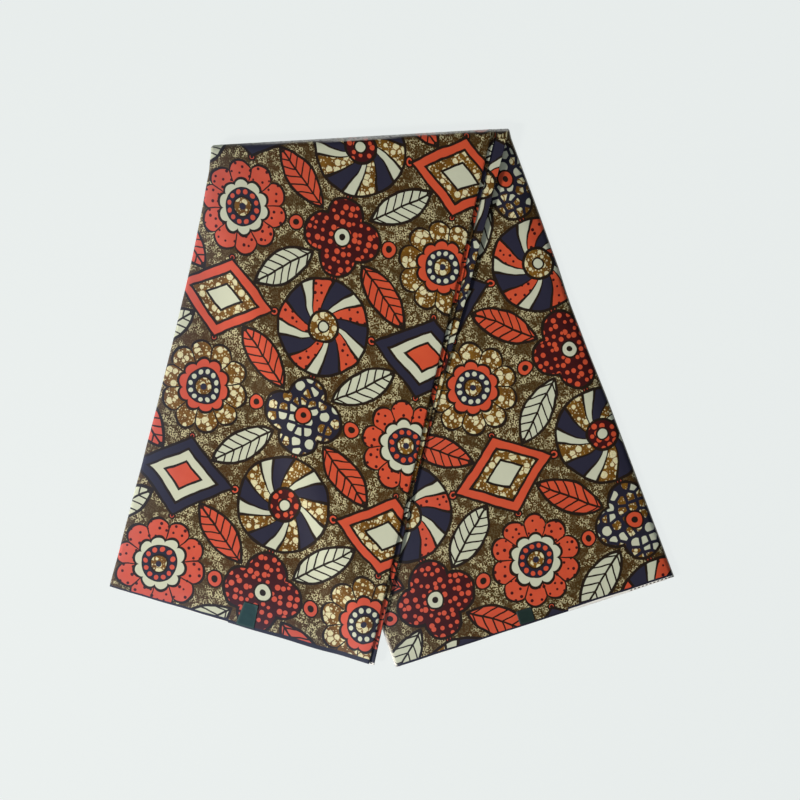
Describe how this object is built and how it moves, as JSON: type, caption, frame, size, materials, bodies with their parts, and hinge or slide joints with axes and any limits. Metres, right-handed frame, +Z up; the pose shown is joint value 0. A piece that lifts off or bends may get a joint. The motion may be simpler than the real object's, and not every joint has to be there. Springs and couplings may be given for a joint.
{
  "type": "folded length of wax print cotton cloth",
  "caption": "Length of patterned cotton cloth, folded along its length to a narrow layered band and folded once over its middle, lying flat with its two legs spread.",
  "frame": {"origin": "centre of the bounding box, on the surface that the cloth lies on", "axes": "+Z up from the surface, +Y from the cut ends of the legs towards the crown where the band folds over, +X towards the back leg's side"},
  "size_m": [0.6561, 0.6224, 0.0166],
  "materials": {
    "printed_cotton": "fine plain-weave cotton, matt with a faint calendered sheen, printed in coral, navy, cream and brown",
    "layered_cotton": "the same cotton, seen at its folded and cut edges",
    "label": "smooth blank dark green label"
  },
  "bodies": {
    "root": {"outer_leaf": "printed_cotton", "inner_layers": "layered_cotton", "label_front": "label", "label_back": "label"}
  },
  "joints": []
}
